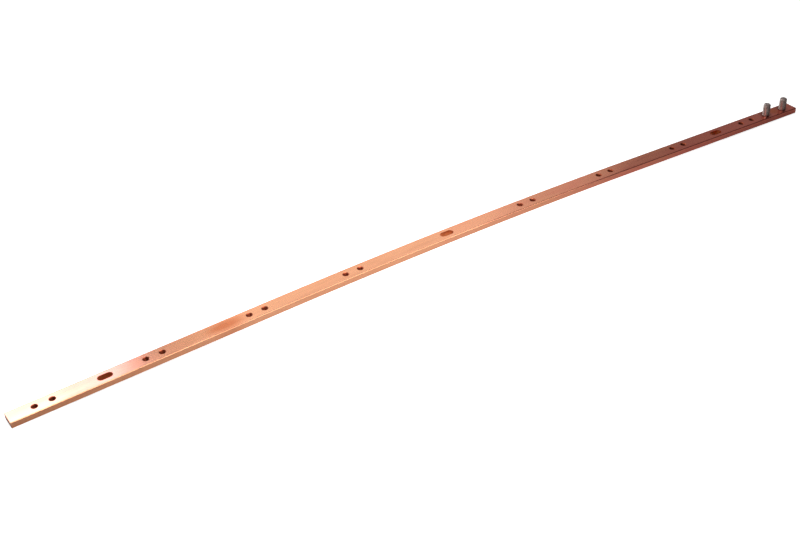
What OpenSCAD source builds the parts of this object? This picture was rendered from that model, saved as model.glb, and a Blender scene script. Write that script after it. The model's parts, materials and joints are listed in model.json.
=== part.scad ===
// Rack grounding busbar: a drawn copper flat bar with pairs of tapped holes for two-hole lugs,
// slots for the screws of the rack's rail, and two threaded studs at its far end. The bar has
// taken a long shallow bow over its middle, and its two end lengths are straight.
//
// Millimetres. X runs along the bar from its plain end to its stud end, Y across it and Z up.
// The origin lies under the crown of the bow, on the plane that the bar's two ends rest on.
// A place along the bar is its distance from the plain end, measured along the bar.

/* [Bar] */
// Length of the bar, along its mid plane
bar_l = 914.4; // [700:0.1:1300]
// Width of the bar
bar_w = 15.875; // [13:0.125:25.4]
// Thickness of the bar
bar_t = 6.35; // [4:0.05:10]
// Radius of the four corners that run along the bar
corner_r = 0.8; // [0.2:0.1:1.5]

/* [Bow] */
// Length of the curved middle
bend_l = 432; // [200:1:600]
// Slope of each straight end length, in degrees
end_slope = 1.75; // [0.5:0.05:4]

/* [Lug holes] */
// Plain end to the middle of the first pair
first_pair = 31.75; // [20:0.25:60]
// Middle of one pair to the middle of the next
pair_pitch = 101.6; // [60:0.1:200]
// Centre distance of the two holes of a pair
lug_spacing = 15.875; // [12:0.125:25.4]
// Tapping diameter of a lug hole
tap_d = 5.1; // [3.5:0.1:6.5]
// Width of the 45 degree countersink round a lug hole, beyond the hole's wall
sink_w = 0.7; // [0.2:0.05:1]

/* [Rail slots] */
// Plain end to the middle of the first slot
first_slot = 87.3; // [60:0.1:120]
// Middle of one slot to the middle of the next
slot_pitch = 355.6; // [200:0.1:450]
// Width of a slot
slot_w = 7.15; // [5:0.05:9]
// Length of a slot, end to end
slot_l = 14.3; // [10:0.1:25]

/* [Studs] */
// Outer diameter of a stud's thread
stud_d = 7.94; // [5:0.02:10]
// Height of a stud's thread, from the wall of its tapped hole out to its crest
stud_thread = 0.7; // [0.4:0.05:1]
// Length of a stud, from the bar's underside to its tip
stud_l = 19.05; // [15:0.05:40]
// Width of the 45 degree chamfer at both ends of a stud
stud_chamfer = 0.9; // [0.2:0.05:1.5]
// Centre distance of the two studs
stud_spacing = 25.4; // [18:0.1:40]
// Centre of the outer stud to the bar's far end
stud_end = 14.3; // [8:0.1:25]
// Gap between a stud and the bar that it is screwed into
stud_clear = 0.02; // [0.01:0.01:0.1]

/* [Hidden] */
$fn = 64;
// Steps in a full turn of the bow's large radius
bow_fn = 3600;
// How far a cut runs past the face that it opens
past = 1;
// Least copper left between two openings
land = 2.5;

// The bow: one arc, with a straight length at each end on its tangent
end_l = (bar_l - bend_l) / 2;
bend_r = bend_l / 2 / (end_slope * PI / 180);
crown_z = drop_at(0) + bar_t / 2 * cos(end_slope);

function slope_at(s) = end_slope * min(max((s - bar_l / 2) / (bend_l / 2), -1), 1);
function past_arc(s) = s - bar_l / 2 - slope_at(s) * PI / 180 * bend_r;
function x_at(s) = bend_r * sin(slope_at(s)) + past_arc(s) * cos(slope_at(s));
function drop_at(s) = bend_r * (1 - cos(slope_at(s))) + past_arc(s) * sin(slope_at(s));

// Places along the bar
stud_outer = bar_l - stud_end;
stud_inner = stud_outer - stud_spacing;
plain_l = stud_inner - stud_d / 2 - land;
pair_reach = lug_spacing / 2 + tap_d / 2 + sink_w;
slots = [for (s = [first_slot : slot_pitch : plain_l - slot_l / 2]) s];
pairs = [for (s = [first_pair : pair_pitch : plain_l - pair_reach]) if (clear_of_slots(s)) s];

// A pair that would run into a slot is left out
function clear_of_slots(s) =
    min([for (slot = slots) abs(s - slot)]) > pair_reach + slot_l / 2 + land;

// Stands its children on the bar's mid plane, square to the bar
module on_bar(s) {
    translate([x_at(s), 0, crown_z - drop_at(s)])
        rotate([0, slope_at(s), 0])
            children();
}

// The bar's rounded section, with X through its thickness and Y across its width
module bar_section() {
    core_t = bar_t - 2 * corner_r;
    core_w = bar_w - 2 * corner_r;
    square([core_t, bar_w], center = true);
    square([bar_t, core_w], center = true);
    for (x = [-1, 1], y = [-1, 1])
        translate([x * core_t / 2, y * core_w / 2])
            circle(corner_r);
}

// From the crown to the far end, swept about the bow's centre: X radial, Y along, Z across
module half_sweep() {
    rotate_extrude(angle = end_slope, $fn = bow_fn)
        translate([bend_r, 0])
            bar_section($fn = 64);
    rotate([0, 0, end_slope])
        translate([bend_r, end_l, 0])
            rotate([90, 0, 0])
                linear_extrude(end_l)
                    bar_section();
}

module half_bar() {
    translate([0, 0, crown_z - bend_r])
        rotate([-90, 0, 0])
            rotate([0, 0, -90])
                half_sweep();
}

// A tapped hole through the bar, countersunk at both faces
module lug_hole() {
    tap_r = tap_d / 2;
    sunk = bar_t / 2 - sink_w;
    rotate_extrude()
        polygon([
            [0, -sunk - sink_w - past],
            [tap_r + sink_w + past, -sunk - sink_w - past],
            [tap_r, -sunk],
            [tap_r, sunk],
            [tap_r + sink_w + past, sunk + sink_w + past],
            [0, sunk + sink_w + past],
        ]);
}

module lug_pair() {
    for (side = [-1, 1])
        translate([side * lug_spacing / 2, 0, 0])
            lug_hole();
}

// A stud's hole, at its tapping size
module stud_hole() {
    cylinder(r = stud_d / 2 - stud_thread, h = bar_t + 2 * past, center = true);
}

// A slot with round ends, cut plumb, so that the rail's screws all run parallel to Z
module rail_slot(s) {
    translate([x_at(s), 0, -past])
        linear_extrude(crown_z + bar_t + 2 * past) {
            square([slot_l - slot_w, slot_w], center = true);
            for (end = [-1, 1])
                translate([end * (slot_l - slot_w) / 2, 0])
                    circle(d = slot_w);
        }
}

module busbar() {
    color("#c98463")
        difference() {
            union() {
                half_bar();
                mirror([1, 0, 0]) half_bar();
            }
            for (s = pairs)
                on_bar(s) lug_pair();
            for (s = slots)
                rail_slot(s);
            for (s = [stud_inner, stud_outer])
                on_bar(s) stud_hole();
        }
}

// A stud at its thread's outer size above the bar and at its tapping size inside it, with its
// lower end flush with the bar's underside
module ground_stud(s) {
    r = stud_d / 2;
    seat_r = r - stud_thread - stud_clear;
    seat_z = bar_t + stud_clear;
    color("#a39a96")
        on_bar(s)
            translate([0, 0, -bar_t / 2])
                rotate_extrude()
                    polygon([
                        [0, 0],
                        [seat_r - stud_chamfer, 0],
                        [seat_r, stud_chamfer],
                        [seat_r, seat_z],
                        [r, seat_z],
                        [r, stud_l - stud_chamfer],
                        [r - stud_chamfer, stud_l],
                        [0, stud_l],
                    ]);
}

busbar();
ground_stud(stud_inner);  // ground_stud_inner
ground_stud(stud_outer);  // ground_stud_outer
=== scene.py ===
"""The dressed rack grounding busbar: a bowed, drawn copper bar with tapped holes and steel studs.

Sizes are in millimetres until they reach Blender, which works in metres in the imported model's
frame: X along the bar, Y across it, Z up, and the bar's two ends on the floor.
"""

import json
import logging
import math
from dataclasses import dataclass
from enum import Enum

import bpy
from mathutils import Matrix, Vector


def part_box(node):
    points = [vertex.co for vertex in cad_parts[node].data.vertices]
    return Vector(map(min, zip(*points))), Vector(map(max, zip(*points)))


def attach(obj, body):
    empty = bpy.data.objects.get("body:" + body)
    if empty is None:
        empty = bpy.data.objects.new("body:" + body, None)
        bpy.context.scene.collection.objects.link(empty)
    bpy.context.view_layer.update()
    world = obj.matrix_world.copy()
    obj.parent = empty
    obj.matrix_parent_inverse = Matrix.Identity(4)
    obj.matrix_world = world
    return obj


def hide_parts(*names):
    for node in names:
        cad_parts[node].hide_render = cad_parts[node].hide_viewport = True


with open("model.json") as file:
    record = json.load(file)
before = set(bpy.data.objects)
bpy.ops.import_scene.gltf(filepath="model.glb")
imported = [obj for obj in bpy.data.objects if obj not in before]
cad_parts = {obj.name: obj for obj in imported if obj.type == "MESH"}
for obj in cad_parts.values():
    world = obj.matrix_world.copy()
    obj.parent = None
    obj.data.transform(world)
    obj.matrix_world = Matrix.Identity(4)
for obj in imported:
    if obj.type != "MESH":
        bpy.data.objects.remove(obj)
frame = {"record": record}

logging.basicConfig(level=logging.INFO, format="%(levelname)s %(message)s")
log = logging.getLogger("busbar")

MM = 0.001
INCH = 25.4
# Edges that turn further than this, in degrees, stay crisp
CRISP = 35
# Most of a noise texture's values lie between these
NOISE_BAND = (0.3, 0.7)
# A wave texture turns through this angle, in radians, for each unit of its place
WAVE_TURN = 20
Colour = tuple[float, float, float, float]
Socket = bpy.types.NodeSocket


class MaterialSlot(Enum):
    """The record's material slots."""

    COPPER = "copper"
    STEEL = "steel"


class CadNode(Enum):
    """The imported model's nodes that the dressed pieces stand for."""

    BAR = "busbar"
    INNER_STUD = "ground_stud_inner"
    OUTER_STUD = "ground_stud_outer"


def linear(hex_code: str) -> Colour:
    """Turns an sRGB hex colour into the linear colour that a shader takes.

    Args:
        hex_code: Six hex digits after a hash.

    Returns:
        Linear red, green and blue, and an alpha of one.
    """
    shares = [int(hex_code[i:i + 2], 16) / 255 for i in (1, 3, 5)]
    red, green, blue = (
        s / 12.92 if s <= 0.04045 else ((s + 0.055) / 1.055) ** 2.4 for s in shares
    )
    return red, green, blue, 1.0


def add_node(
    tree: bpy.types.NodeTree,
    kind: str,
    inputs: dict[int | str, object] | None = None,
    **settings: object,
) -> bpy.types.Node:
    """Adds one node to a tree, with its settings, its values and its links.

    Args:
        tree: The shader or geometry tree.
        kind: The node's type name.
        inputs: By an input's name or number, the value to hold, or the socket or list of
            sockets to link from.
        **settings: Properties of the node, set before its inputs.

    Returns:
        The new node.
    """
    node = tree.nodes.new(kind)
    for name, value in settings.items():
        setattr(node, name, value)
    for key, value in (inputs or {}).items():
        if isinstance(value, (Socket, list)):
            for source in value if isinstance(value, list) else [value]:
                tree.links.new(source, node.inputs[key])
        else:
            node.inputs[key].default_value = value
    return node


def mount(name: str) -> dict:
    """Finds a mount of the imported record.

    Args:
        name: The mount's name.

    Returns:
        Its entry in the record.
    """
    return next(m for m in frame["record"]["mounts"] if m["name"] == name)


def pair_of(place: dict) -> list[Vector]:
    """Gives the two centres of a pair that is set square to the bar.

    Args:
        place: The pair's mount.

    Returns:
        The centre nearer the plain end, then the one nearer the stud end, in metres.
    """
    centre, axis = Vector(place["pos_m"]), Vector(place["axis"])
    along = Vector((axis.z, 0, -axis.x)) * (place["dims"]["pcd_mm"] / 2 * MM)
    return [centre - along, centre + along]


def point_object(name: str, points: list[Vector], axes: list[Vector]) -> bpy.types.Object:
    """Makes an object of bare points, each with an axis, for a tree to set copies on.

    Args:
        name: The object's name.
        points: The places, in metres.
        axes: The direction at each place.

    Returns:
        The linked object, at the origin.
    """
    mesh = bpy.data.meshes.new(name)
    mesh.from_pydata(points, [], [])
    store = mesh.attributes.new("axis", "FLOAT_VECTOR", "POINT")
    for item, axis in zip(store.data, axes):
        item.vector = axis
    made = bpy.data.objects.new(name, mesh)
    bpy.context.scene.collection.objects.link(made)
    return made


def settle(made: bpy.types.Object) -> None:
    """Swaps an object's mesh for its evaluated one and drops its modifiers.

    Args:
        made: The object.
    """
    depsgraph = bpy.context.evaluated_depsgraph_get()
    depsgraph.update()
    mesh = bpy.data.meshes.new_from_object(
        made.evaluated_get(depsgraph), preserve_all_data_layers=True, depsgraph=depsgraph
    )
    made.modifiers.clear()
    made.data = mesh


def smooth(made: bpy.types.Object) -> None:
    """Shades a mesh smooth between its crisp edges, with its flats kept flat.

    Args:
        made: The object.
    """
    made.data.shade_smooth()
    made.data.set_sharp_from_angle(angle=math.radians(CRISP))
    weigh = made.modifiers.new("flats", "WEIGHTED_NORMAL")
    weigh.keep_sharp = True
    weigh.mode = "FACE_AREA"
    settle(made)


def is_closed(mesh: bpy.types.Mesh) -> bool:
    """Tells whether each edge of a mesh has just two faces.

    Args:
        mesh: The mesh.

    Returns:
        True if it is closed.
    """
    uses = [0] * len(mesh.edges)
    for loop in mesh.loops:
        uses[loop.edge_index] += 1
    return all(use == 2 for use in uses)


class Recipe:
    """A Geometry Nodes tree with named sizes that ends in plain geometry of one material."""

    def __init__(self, name: str, sizes: dict[str, float | int]) -> None:
        """Starts the tree.

        Args:
            name: The tree's name.
            sizes: Each named size and its value; a whole number makes an integer input.
        """
        self.sizes = sizes
        self.tree = bpy.data.node_groups.new(name, "GeometryNodeTree")
        face = self.tree.interface
        face.new_socket("Geometry", in_out="OUTPUT", socket_type="NodeSocketGeometry")
        face.new_socket("Geometry", in_out="INPUT", socket_type="NodeSocketGeometry")
        self.identifiers: dict[str, str] = {}
        for size, value in sizes.items():
            kind = "NodeSocketInt" if isinstance(value, int) else "NodeSocketFloat"
            item = face.new_socket(size, in_out="INPUT", socket_type=kind)
            self.identifiers[size] = item.identifier
        self.given = self.tree.nodes.new("NodeGroupInput").outputs

    def add(
        self, kind: str, inputs: dict[int | str, object] | None = None, **settings: object
    ) -> Socket:
        """Adds one node to this tree, as add_node does, and gives its first output."""
        return add_node(self.tree, kind, inputs, **settings).outputs[0]

    def on_points(self, solid: Socket) -> Socket:
        """Sets a copy of a solid on each given point, with its Z along the point's axis.

        Args:
            solid: The solid.

        Returns:
            The copies.
        """
        named = add_node(
            self.tree,
            "GeometryNodeInputNamedAttribute",
            {"Name": "axis"},
            data_type="FLOAT_VECTOR",
        )
        axis = next(s for s in named.outputs if s.enabled and s.type == "VECTOR")
        turn = self.add("FunctionNodeAlignRotationToVector", {"Vector": axis}, axis="Z")
        return self.add(
            "GeometryNodeInstanceOnPoints",
            {"Points": self.given["Geometry"], "Instance": solid, "Rotation": turn},
        )

    def run_on(
        self, made: bpy.types.Object, geometry: Socket, material: bpy.types.Material
    ) -> None:
        """Closes the tree and puts it on an object, with its sizes set by identifier.

        Args:
            made: The object whose mesh the tree starts from.
            geometry: What the tree has made.
            material: The finish of all its faces.
        """
        real = self.add("GeometryNodeRealizeInstances", {0: geometry})
        faced = self.add("GeometryNodeSetMaterial", {0: real, "Material": material})
        add_node(self.tree, "NodeGroupOutput", {0: faced})
        modifier = made.modifiers.new(self.tree.name, "NODES")
        modifier.node_group = self.tree
        for size, value in self.sizes.items():
            modifier[self.identifiers[size]] = value


@dataclass(frozen=True)
class Thread:
    """A right-hand unified thread, standing on Z with its middle at the origin."""

    major_d: float
    core_d: float
    per_inch: int
    length: float
    # Flats in a full turn
    steps: int = 32
    # How deep the ridge's foot is sunk in the core
    seat: float = 0.15
    # A flank's angle from square to the axis
    flank_degrees: float = 30

    def sizes(self) -> dict[str, float | int]:
        """Names the thread's sizes for a tree.

        Returns:
            Each size that solid() reads, in metres.
        """
        return {
            "Crest radius": self.major_d / 2 * MM,
            "Core radius": self.core_d / 2 * MM,
            "Pitch": INCH / self.per_inch * MM,
            "Length": self.length * MM,
            "Ridge seat": self.seat * MM,
            "Flank slope": math.tan(math.radians(self.flank_degrees)),
            "Steps": self.steps,
        }

    @staticmethod
    def solid(recipe: Recipe) -> Socket:
        """Adds the thread to a tree: a core with one ridge wound round it.

        The ridge's crest is an eighth of the pitch wide, and its foot is sunk in the core.

        Args:
            recipe: A tree that has the sizes of sizes().

        Returns:
            The closed solid, which runs a pitch past the thread's length at each end.
        """
        add, given, maths = recipe.add, recipe.given, "ShaderNodeMath"
        join = "ShaderNodeCombineXYZ"
        foot = add(maths, {0: given["Core radius"], 1: given["Ridge seat"]}, operation="SUBTRACT")
        rise = add(maths, {0: given["Crest radius"], 1: foot}, operation="SUBTRACT")
        # Half of the crest's width
        crest = add(maths, {0: given["Pitch"], 1: 16.0}, operation="DIVIDE")
        base = add(
            maths, {0: rise, 1: given["Flank slope"], 2: crest}, operation="MULTIPLY_ADD"
        )
        height = add(
            maths, {0: given["Pitch"], 1: 2.0, 2: given["Length"]}, operation="MULTIPLY_ADD"
        )
        turns = add(maths, {0: height, 1: given["Pitch"]}, operation="DIVIDE")
        low_base = add(maths, {0: base, 1: -1.0}, operation="MULTIPLY")
        low_crest = add(maths, {0: crest, 1: -1.0}, operation="MULTIPLY")
        half_down = add(maths, {0: height, 1: -0.5}, operation="MULTIPLY")
        section = add(
            "GeometryNodeCurvePrimitiveQuadrilateral",
            {
                "Point 1": add(join, {"Y": low_base}),
                "Point 2": add(join, {"X": rise, "Y": low_crest}),
                "Point 3": add(join, {"X": rise, "Y": crest}),
                "Point 4": add(join, {"Y": base}),
            },
            mode="POINTS",
        )
        path = add(
            "GeometryNodeCurveSpiral",
            {
                "Resolution": given["Steps"],
                "Rotations": turns,
                "Start Radius": foot,
                "End Radius": foot,
                "Height": height,
                "Reverse": True,
            },
        )
        upright = add("GeometryNodeSetCurveNormal", {"Curve": path}, mode="Z_UP")
        ridge = add(
            "GeometryNodeCurveToMesh",
            {"Curve": upright, "Profile Curve": section, "Fill Caps": True},
        )
        centred = add(
            "GeometryNodeTransform",
            {"Geometry": ridge, "Translation": add(join, {"Z": half_down})},
        )
        core = add(
            "GeometryNodeMeshCylinder",
            {"Vertices": given["Steps"], "Radius": given["Core radius"], "Depth": height},
        )
        return add(
            "GeometryNodeMeshBoolean",
            {"Mesh 2": [core, centred]},
            operation="UNION",
            solver="MANIFOLD",
        )


@dataclass(frozen=True)
class StainAndShade:
    """A patch on the bar, of tarnish in some places and painted shade in others: its place, half
    widths, strength and colour.
    """

    middle: tuple[float, float, float]
    reach: tuple[float, float, float]
    depth: float
    colour: str = "#CF6B3C"


class BareMetal:
    """The material of a bare metal, with the place of each point ready for its patterns."""

    def __init__(self, name: str) -> None:
        """Starts the material.

        Args:
            name: Its name.
        """
        self.material = bpy.data.materials.new(name)
        self.material.use_nodes = True
        self.tree = self.material.node_tree
        self.place = self.add("ShaderNodeTexCoord").outputs["Object"]

    def add(
        self, kind: str, inputs: dict[int | str, object] | None = None, **settings: object
    ) -> bpy.types.Node:
        """Adds one node to this material, as add_node does."""
        return add_node(self.tree, kind, inputs, **settings)

    def finish(
        self,
        colour: Socket,
        wear: Socket,
        gloss: tuple[float, float],
        relief: Socket,
        depth: float,
    ) -> bpy.types.Material:
        """Sets the metal's colour, gloss and relief.

        Args:
            colour: Its colour.
            wear: The pattern that its gloss follows.
            gloss: Its roughness where that pattern is low, and where it is high.
            relief: The pattern of its fine relief.
            depth: How deep the relief is, in millimetres.

        Returns:
            The material.
        """
        low, high = NOISE_BAND
        rough = self.add(
            "ShaderNodeMapRange",
            {"Value": wear, "From Min": low, "From Max": high,
             "To Min": gloss[0], "To Max": gloss[1]},
        )
        bump = self.add(
            "ShaderNodeBump", {"Height": relief, "Strength": 1.0, "Distance": depth * MM}
        )
        shader = self.tree.nodes["Principled BSDF"]
        shader.inputs["Metallic"].default_value = 1.0
        self.tree.links.new(colour, shader.inputs["Base Color"])
        self.tree.links.new(rough.outputs["Result"], shader.inputs["Roughness"])
        self.tree.links.new(bump.outputs[0], shader.inputs["Normal"])
        return self.material


@dataclass(frozen=True)
class DrawnCopper:
    """Copper flat bar, cold drawn and left bare.

    The die leaves fine lines along the bar, so it has a satin gloss and no mirror. Handling and
    air turn it unevenly from salmon pink to a redder brown. Its patches add tarnish and painted
    shade: the stud half is partly painted redder and darker, and a dark ring is painted round
    each stud's foot.
    """

    # The bar was drawn straight, so the lines follow its bow
    half_bend: float
    slope_degrees: float
    # Patches laid over the colour: tarnish, and painted shade
    stains_and_shade: tuple[StainAndShade, ...]
    fresh: str = "#F2AE85"
    aged: str = "#EBA57D"
    gloss: tuple[float, float] = (0.17, 0.25)
    # The strengths of its mottling at which it starts to look aged, and at which it is aged
    ageing: tuple[float, float] = (0.38, 0.66)
    # Clouds of handling are about this long and wide
    cloud: tuple[float, float] = (55, 11)
    # The die's lines are about 0.1 mm apart; they are drawn wider than that, to show
    line: tuple[float, float] = (90, 0.45)
    line_depth: float = 0.006
    # How much of the mottling goes with the lines, and not with the clouds
    line_share: float = 0.2
    # A patch starts at the first of these shares of its reach, and is full at the second
    fade: tuple[float, float] = (1.5, 0.6)
    # The clouds draw its edge in by up to this share of its reach
    wander: float = 0.8

    def straightened(self, metal: BareMetal) -> Socket:
        """Adds the nodes that undo the bow.

        Args:
            metal: The material.

        Returns:
            Where a point was before the bar took its bow.
        """
        add, maths, half = metal.add, "ShaderNodeMath", self.half_bend * MM
        slope = math.radians(self.slope_degrees)
        parts = add("ShaderNodeSeparateXYZ", {0: metal.place}).outputs
        away = add(maths, {0: parts["X"]}, operation="ABSOLUTE").outputs[0]
        bent = add(maths, {0: away, 1: half}, operation="MINIMUM").outputs[0]
        straight = add(maths, {0: away, 1: bent}, operation="SUBTRACT").outputs[0]
        squared = add(maths, {0: bent, 1: bent}, operation="MULTIPLY").outputs[0]
        lift = add(
            maths, {0: squared, 1: slope / (2 * half), 2: parts["Z"]}, operation="MULTIPLY_ADD"
        ).outputs[0]
        level = add(
            maths, {0: straight, 1: slope, 2: lift}, operation="MULTIPLY_ADD"
        ).outputs[0]
        joined = {"X": parts["X"], "Y": parts["Y"], "Z": level}
        return add("ShaderNodeCombineXYZ", joined).outputs[0]

    def streaks(self, metal: BareMetal) -> list[Socket]:
        """Adds the noises that run along the bar.

        Args:
            metal: The material.

        Returns:
            The clouds of handling, then the die's lines.
        """
        drawn = self.straightened(metal)
        noises = []
        for (long, wide), detail in ((self.cloud, 3.0), (self.line, 2.0)):
            scale = tuple(1 / (size * MM) for size in (long, wide, wide))
            spread = metal.add("ShaderNodeMapping", {"Vector": drawn, "Scale": scale})
            noise = metal.add(
                "ShaderNodeTexNoise",
                {"Vector": spread.outputs[0], "Scale": 1.0, "Detail": detail},
            )
            noises.append(noise.outputs["Fac"])
        return noises

    def stained_and_shaded(
        self, metal: BareMetal, stain_and_shade: StainAndShade, clouds: Socket, colour: Socket
    ) -> Socket:
        """Lays one patch, of tarnish or of painted shade, over a colour.

        Args:
            metal: The material.
            stain_and_shade: The patch.
            clouds: The noise that makes its edge uneven.
            colour: The colour under it.

        Returns:
            The colour with the patch on it.
        """
        scale = tuple(1 / (size * MM) for size in stain_and_shade.reach)
        shift = tuple(-m * MM * s for m, s in zip(stain_and_shade.middle, scale))
        near = metal.add(
            "ShaderNodeMapping", {"Vector": metal.place, "Location": shift, "Scale": scale}
        )
        away = metal.add("ShaderNodeVectorMath", {0: near.outputs[0]}, operation="LENGTH")
        uneven = metal.add(
            "ShaderNodeMath",
            {0: clouds, 1: self.wander, 2: away.outputs["Value"]},
            operation="MULTIPLY_ADD",
        )
        share = metal.add(
            "ShaderNodeMapRange",
            {"Value": uneven.outputs[0], "From Min": self.fade[0], "From Max": self.fade[1],
             "To Max": stain_and_shade.depth},
            interpolation_type="SMOOTHSTEP",
        )
        return metal.add(
            "ShaderNodeMixRGB",
            {"Fac": share.outputs["Result"], "Color1": colour, "Color2": linear(stain_and_shade.colour)},
        ).outputs[0]

    def build(self) -> bpy.types.Material:
        """Makes the material.

        Returns:
            The material.
        """
        metal = BareMetal("drawn_copper")
        clouds, lines = self.streaks(metal)
        mottle = metal.add(
            "ShaderNodeMix",
            {"Factor": self.line_share, "A": clouds, "B": lines},
            data_type="FLOAT",
        ).outputs["Result"]
        age = metal.add(
            "ShaderNodeMapRange",
            {"Value": mottle, "From Min": self.ageing[0], "From Max": self.ageing[1]},
            interpolation_type="SMOOTHSTEP",
        ).outputs["Result"]
        colour = metal.add(
            "ShaderNodeMixRGB",
            {"Fac": age, "Color1": linear(self.fresh), "Color2": linear(self.aged)},
        ).outputs[0]
        # Lays the patches, some of tarnish and some of painted shade
        for stain_and_shade in self.stains_and_shade:
            colour = self.stained_and_shaded(metal, stain_and_shade, clouds, colour)
        return metal.finish(colour, mottle, self.gloss, lines, self.line_depth)


@dataclass(frozen=True)
class CutCopper:
    """Copper where the mill or the tap has cut through it.

    The cutter leaves fine rings and a rougher face, which air and cutting oil turn redder and
    darker than the drawn faces. Part of that darkness is painted shade of the walls inside the
    slots and holes.
    """

    name: str
    bright: str
    dark: str
    gloss: tuple[float, float] = (0.34, 0.5)
    # The oil's stains are a few millimetres across
    patch: float = 3.5
    # The cutter's rings are drawn wider than they are, to show
    ring: float = 1.885
    ring_depth: float = 0.01

    def build(self) -> bpy.types.Material:
        """Makes the material.

        Returns:
            The material.
        """
        metal = BareMetal(self.name)
        patches = metal.add(
            "ShaderNodeTexNoise",
            {"Vector": metal.place, "Scale": 1 / (self.patch * MM), "Detail": 2.0},
        ).outputs["Fac"]
        turns = 2 * math.pi / (WAVE_TURN * self.ring * MM)
        rings = metal.add(
            "ShaderNodeTexWave",
            {"Vector": metal.place, "Scale": turns, "Distortion": 1.0},
            bands_direction="Z",
        ).outputs["Fac"]
        colour = metal.add(
            "ShaderNodeMixRGB",
            {"Fac": patches, "Color1": linear(self.bright), "Color2": linear(self.dark)},
        ).outputs[0]
        return metal.finish(colour, patches, self.gloss, rings, self.ring_depth)


@dataclass(frozen=True)
class RolledSteel:
    """Steel stud with a rolled thread and a thin dull plating.

    Rolling burnishes it, and the plating has dulled to a warm grey in spots.
    """

    plate: str = "#DDCFC9"
    dull: str = "#8A7871"
    gloss: tuple[float, float] = (0.3, 0.44)
    # The strengths of its spots at which the plating starts to look dull, and at which it is
    dulling: tuple[float, float] = (0.4, 0.65)
    # Plating spots are about a millimetre across
    spot: float = 1.1
    grit: float = 0.12
    grit_depth: float = 0.004

    def build(self) -> bpy.types.Material:
        """Makes the material.

        Returns:
            The material.
        """
        metal = BareMetal("rolled_steel")
        spots, grit = (
            metal.add(
                "ShaderNodeTexNoise",
                {"Vector": metal.place, "Scale": 1 / (size * MM), "Detail": 3.0},
            ).outputs["Fac"]
            for size in (self.spot, self.grit)
        )
        dulled = metal.add(
            "ShaderNodeMapRange",
            {"Value": spots, "From Min": self.dulling[0], "From Max": self.dulling[1]},
        ).outputs["Result"]
        colour = metal.add(
            "ShaderNodeMixRGB",
            {"Fac": dulled, "Color1": linear(self.plate), "Color2": linear(self.dull)},
        ).outputs[0]
        return metal.finish(colour, spots, self.gloss, grit, self.grit_depth)


@dataclass(frozen=True)
class MattSheet:
    """Matt sheet under the bar: opal acrylic that is lit from below, or grey card.

    The acrylic's glow keeps it white and loses the shadows on it. The card has no gloss, and is
    what the bare metal mirrors.
    """

    name: str
    shade: str
    glow: float = 0.0
    roughness: float = 0.9

    def build(self) -> bpy.types.Material:
        """Makes the material.

        Returns:
            The material.
        """
        material = bpy.data.materials.new(self.name)
        material.use_nodes = True
        sockets = material.node_tree.nodes["Principled BSDF"].inputs
        sockets["Base Color"].default_value = linear(self.shade)
        sockets["Roughness"].default_value = self.roughness
        sockets["Specular IOR Level"].default_value = 0.0
        sockets["Emission Color"].default_value = linear(self.shade)
        sockets["Emission Strength"].default_value = self.glow
        return material


@dataclass
class Studs:
    """The two studs that carry the grounding conductor's lug, screwed into the bar."""

    bar_t: float
    chamfer: float = 0.9
    # It runs from end to end
    thread: Thread = Thread(major_d=7.9, core_d=6.2, per_inch=18, length=19.05, steps=48)
    # The bar's thread is this much larger across than the stud's
    play: float = 0.06
    # Tapping diameter of a stud's hole
    tap_d: float = 6.54

    def places(self) -> tuple[list[Vector], Vector]:
        """Says where the studs stand.

        Returns:
            The middle of each stud's length, and the axis that both stand along.
        """
        place = mount("ground_studs")
        axis = Vector(place["axis"])
        sink = axis * ((self.thread.length / 2 - self.bar_t) * MM)
        return [top + sink for top in pair_of(place)], axis

    def tapping(self) -> Thread:
        """Sizes the thread in the bar to take the studs' own.

        Returns:
            The thread that a stud's hole is tapped with.
        """
        return Thread(
            major_d=self.thread.major_d + self.play,
            core_d=self.tap_d,
            per_inch=self.thread.per_inch,
            length=self.thread.length,
        )

    def build(self, steel: bpy.types.Material) -> list[bpy.types.Object]:
        """Makes both studs.

        Args:
            steel: Their finish.

        Returns:
            The inner stud and the outer one.
        """
        points, axis = self.places()
        return [
            self.stud(name, point, axis, steel)
            for name, point in zip(("inner_stud", "outer_stud"), points)
        ]

    def stud(
        self, name: str, point: Vector, axis: Vector, steel: bpy.types.Material
    ) -> bpy.types.Object:
        """Makes one stud: a threaded rod, cut to length and chamfered at both ends.

        Args:
            name: The piece's name.
            point: The middle of its length.
            axis: The direction that it stands in.
            steel: Its finish.

        Returns:
            The piece.
        """
        sizes = self.thread.sizes()
        sizes["Chamfer"] = self.chamfer * MM
        recipe = Recipe("threaded_stud", sizes)
        add, given, maths = recipe.add, recipe.given, "ShaderNodeMath"
        rod = Thread.solid(recipe)
        tip = add(maths, {0: given["Crest radius"], 1: given["Chamfer"]}, operation="SUBTRACT")
        # Each end's blank is a cone that widens at 45 degrees from the chamfered tip
        wide = add(maths, {0: given["Length"], 1: tip}, operation="ADD")
        low = add(maths, {0: given["Length"], 1: -0.5}, operation="MULTIPLY")
        cone = add(
            "GeometryNodeMeshCone",
            {"Vertices": given["Steps"], "Radius Top": wide, "Radius Bottom": tip,
             "Depth": given["Length"]},
        )
        lower = add(
            "GeometryNodeTransform",
            {"Geometry": cone, "Translation": add("ShaderNodeCombineXYZ", {"Z": low})},
        )
        upper = add(
            "GeometryNodeTransform", {"Geometry": lower, "Rotation": (math.pi, 0.0, 0.0)}
        )
        cut = add(
            "GeometryNodeMeshBoolean",
            {"Mesh 2": [rod, lower, upper]},
            operation="INTERSECT",
            solver="MANIFOLD",
        )
        made = point_object(name, [point], [axis])
        recipe.run_on(made, recipe.on_points(cut), steel)
        settle(made)
        smooth(made)
        return made


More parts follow.
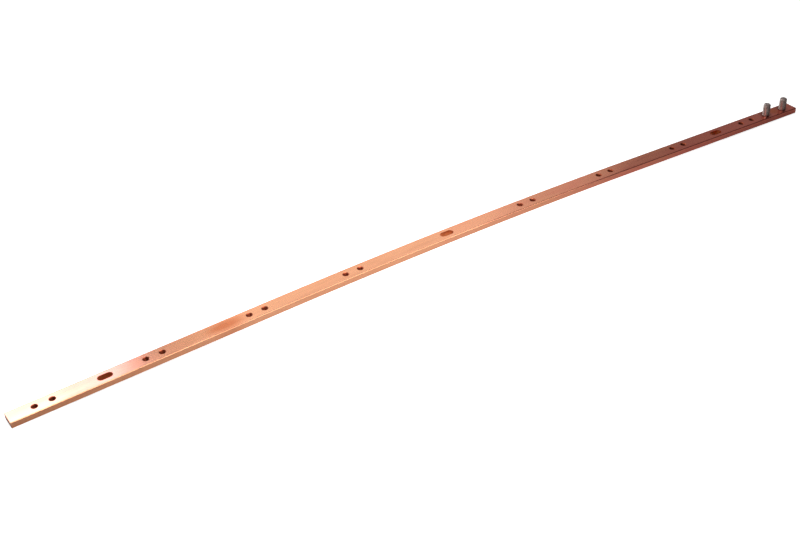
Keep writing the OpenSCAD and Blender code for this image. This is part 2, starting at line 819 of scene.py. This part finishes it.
@dataclass
class Bar:
    """The bowed bar, with its tapped pairs, its slots and the two holes that hold the studs."""

    length: float = 914.4
    width: float = 15.875
    thickness: float = 6.35
    corner: float = 0.8
    corner_steps: int = 5
    # Length of the arc over its middle, and the slope of the straight length at each end
    bend: float = 432
    slope_degrees: float = 1.75
    # Even lengths that the sweep is made of
    steps: int = 254
    # The sawn ends are deburred by this much, where they turn further than this
    end_break: float = 0.25
    end_degrees: float = 60
    # Width of the 45 degree countersink round a lug hole
    sink: float = 0.7
    slot_end_steps: int = 16
    lug_pairs: int = 8
    tap: Thread = Thread(major_d=6.35, core_d=5.1, per_inch=20, length=6.35)

    def sweep(self, copper: bpy.types.Material) -> bpy.types.Object:
        """Makes the plain bar: its rounded section swept along the bow.

        The bow is one arc with a straight length at each end, on its tangent.

        Args:
            copper: Its finish.

        Returns:
            The bar before it is cut.
        """
        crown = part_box(CadNode.BAR.value)[1].z - self.thickness / 2 * MM
        recipe = Recipe(
            "bowed_bar",
            {
                "Length": self.length * MM,
                "Half bend": self.bend / 2 * MM,
                "End slope": math.radians(self.slope_degrees),
                "Crown height": crown,
                "Width": self.width * MM,
                "Thickness": self.thickness * MM,
                "Corner radius": self.corner * MM,
                "Points": self.steps + 1,
            },
        )
        add, given = recipe.add, recipe.given
        maths, join = "ShaderNodeMath", "ShaderNodeCombineXYZ"
        half = add(maths, {0: given["Length"], 1: 0.5}, operation="MULTIPLY")
        near = add(maths, {0: half, 1: -1.0}, operation="MULTIPLY")
        line = add(
            "GeometryNodeCurvePrimitiveLine",
            {"Start": add(join, {"X": near}), "End": add(join, {"X": half})},
        )
        even = add("GeometryNodeResampleCurve", {"Curve": line, "Count": given["Points"]})
        # How far along the bar a point is from its middle, and how much of that is arc
        along = add("ShaderNodeSeparateXYZ", {0: add("GeometryNodeInputPosition")})
        back = add(maths, {0: given["Half bend"], 1: -1.0}, operation="MULTIPLY")
        arc = add("ShaderNodeClamp", {"Value": along, "Min": back, "Max": given["Half bend"]})
        past = add(maths, {0: along, 1: arc}, operation="SUBTRACT")
        share = add(maths, {0: arc, 1: given["Half bend"]}, operation="DIVIDE")
        slope = add(maths, {0: share, 1: given["End slope"]}, operation="MULTIPLY")
        radius = add(
            maths, {0: given["Half bend"], 1: given["End slope"]}, operation="DIVIDE"
        )
        sine = add(maths, {0: slope}, operation="SINE")
        cosine = add(maths, {0: slope}, operation="COSINE")
        x_arc = add(maths, {0: radius, 1: sine}, operation="MULTIPLY")
        x = add(maths, {0: past, 1: cosine, 2: x_arc}, operation="MULTIPLY_ADD")
        fall = add(maths, {0: 1.0, 1: cosine}, operation="SUBTRACT")
        z_arc = add(maths, {0: radius, 1: fall}, operation="MULTIPLY")
        drop = add(maths, {0: past, 1: sine, 2: z_arc}, operation="MULTIPLY_ADD")
        z = add(maths, {0: given["Crown height"], 1: drop}, operation="SUBTRACT")
        bowed = add(
            "GeometryNodeSetPosition",
            {"Geometry": even, "Position": add(join, {"X": x, "Z": z})},
        )
        upright = add("GeometryNodeSetCurveNormal", {"Curve": bowed}, mode="Z_UP")
        block = add(
            "GeometryNodeCurvePrimitiveQuadrilateral",
            {"Width": given["Width"], "Height": given["Thickness"]},
        )
        section = add(
            "GeometryNodeFilletCurve",
            {"Curve": block, "Radius": given["Corner radius"],
             "Count": self.corner_steps},
            mode="POLY",
        )
        swept = add(
            "GeometryNodeCurveToMesh",
            {"Curve": upright, "Profile Curve": section, "Fill Caps": True},
        )
        made = point_object("bar", [], [])
        recipe.run_on(made, swept, copper)
        settle(made)
        return made

    def tapped_holes(self, copper: bpy.types.Material) -> bpy.types.Object:
        """Makes the cutter of every lug hole: the tap's thread, countersunk at both faces.

        Args:
            copper: The finish that it leaves.

        Returns:
            The cutter.
        """
        places = [mount(f"lug_pair_{i}") for i in range(1, self.lug_pairs + 1)]
        points = [p for place in places for p in pair_of(place)]
        axes = [Vector(place["axis"]) for place in places for _ in range(2)]
        sizes = self.tap.sizes()
        sizes["Countersink"] = self.sink * MM
        recipe = Recipe("tapped_holes", sizes)
        add, given, maths = recipe.add, recipe.given, "ShaderNodeMath"
        tap = Thread.solid(recipe)
        # The cone runs from inside the core to a countersink's depth outside the bar
        inside = add(
            maths, {0: given["Core radius"], 1: given["Ridge seat"]}, operation="SUBTRACT"
        )
        rise = add(maths, {0: given["Countersink"], 1: 2.0}, operation="MULTIPLY")
        depth = add(maths, {0: rise, 1: given["Ridge seat"]}, operation="ADD")
        mouth = add(maths, {0: inside, 1: depth}, operation="ADD")
        half = add(maths, {0: given["Length"], 1: 0.5}, operation="MULTIPLY")
        sunk = add(maths, {0: half, 1: given["Countersink"]}, operation="SUBTRACT")
        start = add(maths, {0: sunk, 1: given["Ridge seat"]}, operation="SUBTRACT")
        cone = add(
            "GeometryNodeMeshCone",
            {"Vertices": given["Steps"], "Radius Top": mouth, "Radius Bottom": inside,
             "Depth": depth},
        )
        upper = add(
            "GeometryNodeTransform",
            {"Geometry": cone, "Translation": add("ShaderNodeCombineXYZ", {"Z": start})},
        )
        lower = add(
            "GeometryNodeTransform", {"Geometry": upper, "Rotation": (math.pi, 0.0, 0.0)}
        )
        cutter = add(
            "GeometryNodeMeshBoolean",
            {"Mesh 2": [tap, upper, lower]},
            operation="UNION",
            solver="MANIFOLD",
        )
        made = point_object("lug_hole_cutters", points, axes)
        recipe.run_on(made, recipe.on_points(cutter), copper)
        settle(made)
        return made

    def slots(self, copper: bpy.types.Material) -> bpy.types.Object:
        """Makes the cutter of the three slots, whose ends are round and whose walls are plumb.

        Args:
            copper: The finish that it leaves.

        Returns:
            The cutter.
        """
        rows = [mount("rail_slots_plain_half"), mount("rail_slots_stud_half")]
        # Both rows have the middle slot, which is cut once
        centres = sorted(
            {
                round(row["pos_m"][0] + side * row["dims"]["spacing_x_mm"] / 2 * MM, 5)
                for row in rows
                for side in (-1, 1)
            }
        )
        level, dims = rows[0]["pos_m"][2], rows[0]["dims"]
        # The cutter reaches well past both faces
        recipe = Recipe(
            "rail_slots",
            {
                "Slot length": dims["slot_length_mm"] * MM,
                "Slot width": 2 * dims["hole_r_mm"] * MM,
                "Reach": 4 * self.thickness * MM,
            },
        )
        add, given, maths = recipe.add, recipe.given, "ShaderNodeMath"
        down = add(maths, {0: given["Reach"], 1: -1.0}, operation="MULTIPLY")
        path = add(
            "GeometryNodeCurvePrimitiveLine",
            {"Start": add("ShaderNodeCombineXYZ", {"Z": down}),
             "End": add("ShaderNodeCombineXYZ", {"Z": given["Reach"]})},
        )
        block = add(
            "GeometryNodeCurvePrimitiveQuadrilateral",
            {"Width": given["Slot length"], "Height": given["Slot width"]},
        )
        # Just under half the width, so that the fillets of an end don't meet
        end_r = add(maths, {0: given["Slot width"], 1: 0.4999}, operation="MULTIPLY")
        outline = add(
            "GeometryNodeFilletCurve",
            {"Curve": block, "Radius": end_r, "Count": self.slot_end_steps},
            mode="POLY",
        )
        prism = add(
            "GeometryNodeCurveToMesh",
            {"Curve": path, "Profile Curve": outline, "Fill Caps": True},
        )
        points = [Vector((x, 0, level)) for x in centres]
        made = point_object("slot_cutters", points, [Vector((0, 0, 1))] * len(points))
        recipe.run_on(made, recipe.on_points(prism), copper)
        settle(made)
        return made

    def stud_holes(self, studs: Studs, copper: bpy.types.Material) -> bpy.types.Object:
        """Makes the cutter of the two threaded holes that the studs stand in.

        Args:
            studs: The studs.
            copper: The finish that it leaves.

        Returns:
            The cutter.
        """
        points, axis = studs.places()
        recipe = Recipe("stud_holes", studs.tapping().sizes())
        made = point_object("stud_hole_cutters", points, [axis] * len(points))
        recipe.run_on(made, recipe.on_points(Thread.solid(recipe)), copper)
        settle(made)
        return made

    def build(
        self,
        studs: Studs,
        drawn: bpy.types.Material,
        milled: bpy.types.Material,
        tapped: bpy.types.Material,
    ) -> bpy.types.Object:
        """Makes the bar, breaks its ends and cuts its holes.

        Args:
            studs: The studs whose holes it has.
            drawn: The finish of its outer faces.
            milled: The finish of its slots.
            tapped: The finish of its round holes.

        Returns:
            The piece.
        """
        made = self.sweep(drawn)
        ends = made.modifiers.new("end_break", "BEVEL")
        ends.width = self.end_break * MM
        ends.segments = 2
        ends.limit_method = "ANGLE"
        ends.angle_limit = math.radians(self.end_degrees)
        cutters = [
            self.tapped_holes(tapped), self.slots(milled), self.stud_holes(studs, tapped)
        ]
        for cutter in cutters:
            bore = made.modifiers.new(cutter.name, "BOOLEAN")
            bore.operation = "DIFFERENCE"
            bore.solver = "MANIFOLD"
            bore.material_mode = "TRANSFER"
            bore.object = cutter
        settle(made)
        for cutter in cutters:
            bpy.data.objects.remove(cutter)
        smooth(made)
        return made


@dataclass(frozen=True)
class Panel:
    """A soft light panel: its place, what it faces, its size, its brightness and its tint."""

    name: str
    place: tuple[float, float, float]
    faces: tuple[float, float, float]
    size: tuple[float, float]
    radiance: float
    tint: tuple[float, float, float] = (1.0, 1.0, 1.0)

    @classmethod
    def far(
        cls,
        name: str,
        azimuths: tuple[float, float],
        elevations: tuple[float, float],
        radiance: float,
    ) -> "Panel":
        """Gives a panel that faces the origin and fills a part of the studio's walls.

        Args:
            name: The panel's name.
            azimuths: Its two sides, in degrees from +Y towards +X.
            elevations: Its lower and upper edge, in degrees.
            radiance: Its brightness.

        Returns:
            The panel.
        """
        distance = 2.5  # From the origin to the walls
        turn = math.radians(sum(azimuths) / 2)
        rise = math.radians(sum(elevations) / 2)
        place = Vector((math.sin(turn), math.cos(turn), math.tan(rise))).normalized() * distance
        half_wide = math.radians(azimuths[1] - azimuths[0]) / 2
        half_high = math.radians(elevations[1] - elevations[0]) / 2
        size = (
            2 * distance * math.cos(rise) * math.tan(half_wide),
            2 * distance * math.tan(half_high),
        )
        return cls(name, tuple(place), (0.0, 0.0, 0.0), size, radiance)

    def build(self) -> None:
        """Hangs the panel."""
        data = bpy.data.lights.new(self.name, "AREA")
        data.shape = "RECTANGLE"
        data.size, data.size_y = self.size
        data.energy = math.pi * data.size * data.size_y * self.radiance
        data.color = self.tint
        made = bpy.data.objects.new(self.name, data)
        bpy.context.scene.collection.objects.link(made)
        made.location = self.place
        aim = Vector(self.faces) - Vector(self.place)
        made.rotation_euler = aim.to_track_quat("-Z", "Y").to_euler()


@dataclass
class Studio:
    """The white table, the soft panels and the camera, in metres and degrees."""

    table_size: float = 16
    # The card lies this far above the table, so that the table doesn't shade it
    card_lift: float = 0.0001
    air: tuple[float, float, float] = (0.06, 0.05, 0.05)
    camera_place: tuple[float, float, float] = (-0.62741, -0.89142, 0.72609)
    camera_turn: tuple[float, float, float] = (55.3104, 1.8656, -33.3548)
    lens: float = 60.273
    view_depth: float = 100
    panels: tuple[Panel, ...] = (
        Panel.far("back", (14, 39), (12, 50), 1.0),
        Panel.far("back_wing", (39, 48), (12, 50), 0.65),
        Panel.far("back_edge", (7, 14), (12, 50), 0.75),
        Panel.far("right", (48, 75), (12, 50), 0.24),
        Panel.far("left_back", (-50, -2), (10, 48), 1.7),
        Panel.far("left", (-90, -50), (20, 55), 0.35),
        Panel.far("high_back", (-24, 2), (46, 74), 2.5),
        Panel("overhead", (0.0, 0.0, 3.0), (0.0, 0.0, 0.0), (3.0, 3.0), 0.4),
        Panel(
            "plain_end", (-0.36, 0.40, 0.335), (-0.40, 0.0, 0.0), (0.24, 0.2), 2.8,
            (0.62, 0.6, 1.0),
        ),
        Panel("front_low", (-0.055, -0.15, 0.18), (-0.055, 0.0, 0.0), (0.42, 0.17), 3.4),
        Panel("front_left", (-0.305, -0.367, 0.45), (-0.305, 0.0, 0.0), (0.19, 0.4), 6.0),
        Panel("front_mid", (0.22, -0.2, 0.12), (0.13, 0.0, 0.0), (0.17, 0.08), 2.4),
        Panel("front_right", (0.36, -0.5, 0.15), (0.05, 0.0, 0.0), (0.2, 0.25), 1.0),
    )

    def plane(
        self, name: str, height: float, material: bpy.types.Material
    ) -> bpy.types.Object:
        """Lays a wide level plane, which isn't part of the object.

        Args:
            name: Its name.
            height: Its height above the plane that the bar rests on.
            material: Its finish.

        Returns:
            The plane.
        """
        half = self.table_size / 2
        mesh = bpy.data.meshes.new(name)
        corners = [(x * half, y * half, height) for x, y in ((-1, -1), (1, -1), (1, 1), (-1, 1))]
        mesh.from_pydata(corners, [], [(0, 1, 2, 3)])
        mesh.materials.append(material)
        made = bpy.data.objects.new(name, mesh)
        bpy.context.scene.collection.objects.link(made)
        return made

    def floor(self) -> None:
        """Lays the white table that is seen, and the grey card that only the metal mirrors."""
        opal = MattSheet("opal_table", "#F4F4F3", glow=0.9).build()
        table = self.plane("table", 0.0, opal)
        table.visible_glossy = False
        table.visible_diffuse = False
        card = self.plane("card", self.card_lift, MattSheet("grey_card", "#C8C8C8").build())
        card.visible_camera = False
        card.visible_diffuse = False
        card.visible_shadow = False

    def room(self) -> None:
        """Sets the dim warm light of the room round the panels."""
        world = bpy.data.worlds.new("studio")
        world.use_nodes = True
        back = world.node_tree.nodes["Background"]
        back.inputs["Color"].default_value = (*self.air, 1.0)
        bpy.context.scene.world = world

    def camera(self) -> None:
        """Places the camera."""
        data = bpy.data.cameras.new("camera")
        data.lens = self.lens
        data.clip_end = self.view_depth
        made = bpy.data.objects.new("camera", data)
        made.location = self.camera_place
        made.rotation_euler = [math.radians(turn) for turn in self.camera_turn]
        bpy.context.scene.collection.objects.link(made)
        bpy.context.scene.camera = made

    def build(self) -> None:
        """Sets up the whole studio."""
        self.floor()
        self.room()
        self.camera()
        for panel in self.panels:
            panel.build()
        bpy.context.scene.view_settings.view_transform = "Standard"


def hand_over(made: bpy.types.Object, node: CadNode, slot: MaterialSlot) -> None:
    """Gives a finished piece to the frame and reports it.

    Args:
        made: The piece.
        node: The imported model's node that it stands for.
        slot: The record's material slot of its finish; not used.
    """
    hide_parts(node.value)
    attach(made, "root")
    mesh = made.data
    mesh.calc_loop_triangles()
    log.info(
        "%s: %d vertices, %d triangles, closed %s",
        made.name, len(mesh.vertices), len(mesh.loop_triangles), is_closed(mesh),
    )


def bar_stains_and_shade() -> tuple[StainAndShade, ...]:
    """Gives the bar's patches of tarnish and of painted shade.

    Returns:
        The stud half, redder and darker partly from tarnish and partly as painted shade, a
        handled patch in the plain half, a patch between the studs and a ring of painted shade at
        the foot of each stud.
    """
    place = mount("ground_studs")
    return (
        # Partly tarnish and partly painted shade: the whole stud half is coloured redder and
        # darker
        StainAndShade(middle=(500, 0, 0), reach=(520, 520, 520), depth=0.8, colour="#DA6C62"),
        StainAndShade(middle=(-255, 0, 9), reach=(26, 10, 14), depth=0.75),
        StainAndShade(middle=(place["pos_m"][0] / MM, 0, 6), reach=(9, 9, 9), depth=0.8),
        # Painted shade: a dark ring round the foot of each stud
        *(
            StainAndShade(middle=(foot.x / MM, 0, 7), reach=(9, 9, 9), depth=0.85, colour="#5E3A31")
            for foot in pair_of(place)
        ),
    )


def main() -> None:
    """Builds the bar, the studs and the studio."""
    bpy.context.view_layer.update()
    Studio().build()
    bar = Bar()
    studs = Studs(bar.thickness)
    made = bar.build(
        studs,
        DrawnCopper(bar.bend / 2, bar.slope_degrees, bar_stains_and_shade()).build(),
        # Both cut finishes are partly painted shade: the slot and hole walls are coloured darker
        # than cut copper
        CutCopper("milled_copper_and_shade", bright="#EA8F5A", dark="#C66236").build(),
        CutCopper("tapped_copper_and_shade", bright="#CB6E4C", dark="#7C2E20").build(),
    )
    hand_over(made, CadNode.BAR, MaterialSlot.COPPER)
    pieces = studs.build(RolledSteel().build())
    for made, node in zip(pieces, (CadNode.INNER_STUD, CadNode.OUTER_STUD)):
        hand_over(made, node, MaterialSlot.STEEL)


if __name__ == "__main__":
    main()
